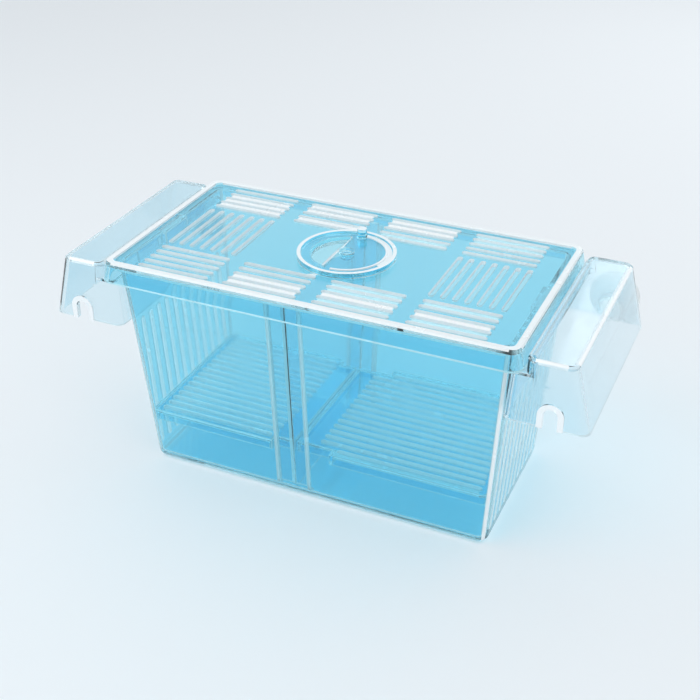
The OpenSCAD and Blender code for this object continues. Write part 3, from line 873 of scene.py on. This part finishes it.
class BREEDINGBOX_OT_lid(bpy.types.Operator):
    """Makes the slotted lid."""

    bl_idname = "breeding_box.lid"
    bl_label = "Lid"

    def execute(self, context):
        tank = context.scene.breeding_box_tank
        lid = context.scene.breeding_box_lid
        faces, edges = clear_plastic()
        half_l = tank.length / 2 + lid.side
        half_w = tank.depth / 2 + lid.side
        top = lid.low + lid.thick
        inner = lid.wall - lid.lean * lid.thick

        def lid_loop(z, outward, radius):
            return corner_loop(half_l + outward, half_w + outward, radius, z)

        flare = lid.lean * lid.skirt
        inner_flare = lid.lean * (lid.skirt - lid.thick)
        hollow_r = lid.corner - lid.wall / 2
        border_in = lid.border_lean * lid.border_high
        border_r = lid.corner - lid.border / 2
        piece = shell_object(
            "lid_moulding",
            [
                lid_loop(lid.low, -inner, hollow_r),
                lid_loop(top - lid.skirt, inner_flare - inner, hollow_r + inner_flare),
                lid_loop(top - lid.skirt, flare, lid.corner + flare),
                lid_loop(top, 0, lid.corner),
                lid_loop(top + lid.border_high, -border_in, lid.corner - border_in),
                lid_loop(top + lid.border_high, -lid.border, border_r),
                lid_loop(top, -lid.border, border_r),
            ],
        )
        ring = [
            circle_loop(lid.ring, top - lid.thick / 2),
            circle_loop(lid.ring, top + lid.ring_high),
            circle_loop(lid.ring - lid.ring_wall, top + lid.ring_high),
            circle_loop(lid.ring - lid.ring_wall, top - lid.thick / 2),
        ]
        carve(piece, shell_object("ring", ring, closed=True), "UNION")

        reach = math.acos(lid.moon_edge / lid.moon)
        turns = [math.pi - reach + 2 * reach * step / MOON_STEPS for step in range(MOON_STEPS + 1)]
        cut_low, cut_top = lid.low - OVER, top + OVER
        moon = [
            [(lid.moon * math.cos(turn), lid.moon * math.sin(turn), z) for turn in turns]
            for z in (cut_low, cut_top)
        ]
        bore = [circle_loop(lid.bore, z, 24) for z in (cut_low, cut_top)]
        carve(piece, shell_object("holes", moon, bore), "DIFFERENCE")

        panel = (2 * (half_l - lid.end_margin) - (lid.panels - 1) * lid.strip) / lid.panels
        row_y = half_w - lid.row_margin
        row_span = (lid.row_slots - 1) * lid.row_pitch
        end_x = (lid.panels - 1) / 2 * (panel + lid.strip)
        depth = 2 * lid.thick + 2 * OVER
        for side in (-1, 1):
            cut_slots(
                piece,
                faces,
                edges,
                Columns=lid.panels,
                Rows=lid.row_slots,
                Column_pitch=panel + lid.strip,
                Row_pitch=lid.row_pitch,
                Slot_length=panel,
                Slot_width=lid.slot_width,
                Cut_depth=depth,
                Place=(0, side * (row_y - row_span / 2), lid.low + lid.thick / 2),
            )
            cut_slots(
                piece,
                faces,
                edges,
                Rows=lid.end_slots,
                Row_pitch=(panel - lid.slot_width) / (lid.end_slots - 1),
                Slot_length=2 * (row_y - row_span - lid.slot_width / 2 - lid.end_gap),
                Slot_width=lid.slot_width,
                Cut_depth=depth,
                Place=(side * end_x, 0, lid.low + lid.thick / 2),
                Turn=(0, 0, math.pi / 2),
            )
        bake_modifiers(piece)
        join_flat_faces(piece)
        finish_moulding(piece, "lid", "lid")
        return {"FINISHED"}


class BREEDINGBOX_OT_hatch(bpy.types.Operator):
    """Makes the round feeding hatch."""

    bl_idname = "breeding_box.hatch"
    bl_label = "Feeding hatch"

    def execute(self, context):
        moulding("feeding_hatch", "hatch", "hatch_moulding")
        return {"FINISHED"}


class BREEDINGBOX_OT_divider(bpy.types.Operator):
    """Makes the centre divider."""

    bl_idname = "breeding_box.divider"
    bl_label = "Centre divider"

    def execute(self, context):
        tank = context.scene.breeding_box_tank
        half = context.scene.breeding_box_floor.divider
        faces, edges = clear_plastic()
        # The sheet's edge shows through the flange as a bright strip of its own, painted as a highlight:
        # its faces there take the whitened edge material
        piece = merged_copy("centre_divider", "divider_moulding")
        mesh = piece.data
        mesh.materials.append(faces)
        mesh.materials.append(edges)
        work = bmesh.new()
        work.from_mesh(mesh)
        for x in (-tank.divider_left - half, -tank.divider_left + half):
            whole = work.verts[:] + work.edges[:] + work.faces[:]
            bmesh.ops.bisect_plane(work, geom=whole, plane_co=(x, 0, 0), plane_no=(1, 0, 0), dist=MERGE)
        for face in work.faces:
            inside = abs(face.calc_center_median().x + tank.divider_left) < half / 2
            face.material_index = int(inside and abs(face.normal.y) > FACING)
        work.to_mesh(mesh)
        work.free()
        # Painted sheen: the divider's paler tint stands in for the reflection on its face
        pale = context.scene.breeding_box_plastic.pale_tint
        finish_moulding(piece, "centre_divider", "divider", pale)
        return {"FINISHED"}


class BREEDINGBOX_OT_floors(bpy.types.Operator):
    """Makes the two grid floors."""

    bl_idname = "breeding_box.floors"
    bl_label = "Grid floors"

    def execute(self, context):
        tank = context.scene.breeding_box_tank
        floor = context.scene.breeding_box_floor
        for side, middle, cut in (
            ("left", tank.divider_left, floor.left_cut),
            ("right", -tank.divider_left, floor.right_cut),
        ):
            piece = grid_floor(f"{side}_floor_moulding", middle, cut)
            if side == "left":
                piece.data.transform(Matrix.Rotation(math.pi, 4, "Z"))
            finish_moulding(piece, f"{side}_floor_grid", f"{side}_floor")
        return {"FINISHED"}


class BREEDINGBOX_OT_floats(bpy.types.Operator):
    """Makes the two air floats."""

    bl_idname = "breeding_box.floats"
    bl_label = "Floats"

    def execute(self, context):
        tint = context.scene.breeding_box_plastic.pale_tint
        for side in ("left", "right"):
            moulding(f"{side}_float", "tank", f"{side}_float_moulding", tint)
        return {"FINISHED"}


class BREEDINGBOX_OT_cups(bpy.types.Operator):
    """Makes the two suction cups."""

    bl_idname = "breeding_box.cups"
    bl_label = "Suction cups"

    def execute(self, context):
        soft = soft_pvc()
        for side in ("left", "right"):
            piece = merged_copy(f"{side}_suction_cup", f"{side}_cup_moulding")
            soften_edges(piece, CUP_EDGE, soft, soft, CUP_ANGLE)
            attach(piece, "tank")
            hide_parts(f"{side}_suction_cup")
        return {"FINISHED"}


# Name, place, aim, size and share of the key power of each lamp
LAMPS = (
    ("key", (-0.55, -0.6, 1.0), (0, 0, 0.05), (0.8, 0.8), 1.0),
    ("back_sheen", (0.35, 0.95, 0.55), (0.05, 0, 0.08), (0.9, 0.5), 0.35),
    ("fill", (0.9, -0.5, 0.5), (0, 0, 0.05), (0.7, 0.7), 0.3),
)


def area_lamp(name, place, aim, size, power):
    """A soft rectangular lamp at a place, turned to a point."""
    data = bpy.data.lights.new(name, "AREA")
    data.shape = "RECTANGLE"
    data.size, data.size_y = size
    data.energy = power
    lamp = bpy.data.objects.new(name, data)
    bpy.context.scene.collection.objects.link(lamp)
    lamp.location = place
    lamp.rotation_euler = (Vector(aim) - Vector(place)).to_track_quat("-Z", "Y").to_euler()


class BREEDINGBOX_OT_stage(bpy.types.Operator):
    """Makes the floor, the lamps, the world and the camera."""

    bl_idname = "breeding_box.stage"
    bl_label = "Stage"

    def execute(self, context):
        scene = context.scene
        look = scene.breeding_box_stage
        scene.view_settings.view_transform = "Standard"
        scene.cycles.max_bounces = 32
        scene.cycles.transmission_bounces = 32
        scene.cycles.glossy_bounces = 12
        scene.cycles.transparent_max_bounces = 48
        low, high = solid_bounds
        middle = (low + high) / 2

        mesh = bpy.data.meshes.new("floor")
        work = bmesh.new()
        bmesh.ops.create_grid(work, x_segments=1, y_segments=1, size=FLOOR_SIZE / 2)
        bmesh.ops.translate(work, verts=work.verts, vec=(0, 0, -FLOOR_GAP))
        work.to_mesh(mesh)
        work.free()
        floor = bpy.data.objects.new("floor", mesh)
        scene.collection.objects.link(floor)
        material, tree, output = new_material("floor")
        paint = node_of(tree, "ShaderNodeBsdfPrincipled", Roughness=0.7)
        paint.inputs["Base Color"].default_value = (*look.floor_colour, 1)
        tree.links.new(paint.outputs["BSDF"], output.inputs["Surface"])
        mesh.materials.append(material)

        world = bpy.data.worlds.new("studio")
        scene.world = world
        world.use_nodes = True
        tree = world.node_tree
        tree.nodes.clear()
        output = tree.nodes.new("ShaderNodeOutputWorld")
        soft = node_of(tree, "ShaderNodeBackground", Strength=look.soft_light)
        soft.inputs["Color"].default_value = (0.96, 0.98, 1, 1)
        seen = node_of(tree, "ShaderNodeBackground", Strength=look.seen_light)
        seen.inputs["Color"].default_value = (0.93, 0.97, 1, 1)
        rays = tree.nodes.new("ShaderNodeLightPath")
        first = tree.nodes.new("ShaderNodeMath")
        first.operation = "ADD"
        second = tree.nodes.new("ShaderNodeMath")
        second.operation = "ADD"
        second.use_clamp = True
        mix = tree.nodes.new("ShaderNodeMixShader")
        link = tree.links.new
        link(rays.outputs["Is Camera Ray"], first.inputs[0])
        link(rays.outputs["Is Glossy Ray"], first.inputs[1])
        link(first.outputs["Value"], second.inputs[0])
        link(rays.outputs["Is Transmission Ray"], second.inputs[1])
        link(second.outputs["Value"], mix.inputs["Fac"])
        link(soft.outputs["Background"], mix.inputs[1])
        link(seen.outputs["Background"], mix.inputs[2])
        link(mix.outputs["Shader"], output.inputs["Surface"])

        for name, place, aim, size, share in LAMPS:
            area_lamp(name, place, aim, size, look.key_power * share)

        data = bpy.data.cameras.new("camera")
        data.lens = look.lens
        data.clip_start = 0.01
        camera = bpy.data.objects.new("camera", data)
        scene.collection.objects.link(camera)
        scene.camera = camera
        a, e = look.azimuth, look.elevation
        back = Vector((math.sin(a) * math.cos(e), -math.cos(a) * math.cos(e), math.sin(e)))
        camera.location = middle + back * look.distance
        camera.rotation_euler = (-back).to_track_quat("-Z", "Y").to_euler()
        return {"FINISHED"}


class BREEDINGBOX_PT_panel(bpy.types.Panel):
    """Lists the breeding box's operators and settings."""

    bl_label = "Breeding box"
    bl_idname = "BREEDINGBOX_PT_panel"
    bl_space_type = "VIEW_3D"
    bl_region_type = "UI"
    bl_category = "Breeding box"

    def draw(self, context):
        layout = self.layout
        for operator in OPERATORS:
            layout.operator(operator.bl_idname)
        for group in SETTINGS:
            settings = getattr(context.scene, group)
            for name in settings.__annotations__:
                layout.prop(settings, name)


OPERATORS = (
    BREEDINGBOX_OT_tank,
    BREEDINGBOX_OT_lid,
    BREEDINGBOX_OT_hatch,
    BREEDINGBOX_OT_divider,
    BREEDINGBOX_OT_floors,
    BREEDINGBOX_OT_floats,
    BREEDINGBOX_OT_cups,
    BREEDINGBOX_OT_stage,
)
SETTINGS = {
    "breeding_box_tank": TankSizes,
    "breeding_box_floor": FloorSizes,
    "breeding_box_lid": LidSizes,
    "breeding_box_plastic": PlasticSettings,
    "breeding_box_stage": StageSettings,
}
CLASSES = (*SETTINGS.values(), *OPERATORS, BREEDINGBOX_PT_panel)


def register():
    for made in CLASSES:
        bpy.utils.register_class(made)
    for name, settings in SETTINGS.items():
        setattr(bpy.types.Scene, name, PointerProperty(type=settings))


def unregister():
    for name in SETTINGS:
        delattr(bpy.types.Scene, name)
    for made in reversed(CLASSES):
        bpy.utils.unregister_class(made)


def main():
    register()
    bpy.ops.breeding_box.tank()
    bpy.ops.breeding_box.lid()
    bpy.ops.breeding_box.hatch()
    bpy.ops.breeding_box.divider()
    bpy.ops.breeding_box.floors()
    bpy.ops.breeding_box.floats()
    bpy.ops.breeding_box.cups()
    bpy.ops.breeding_box.stage()


if __name__ == "__main__":
    main()
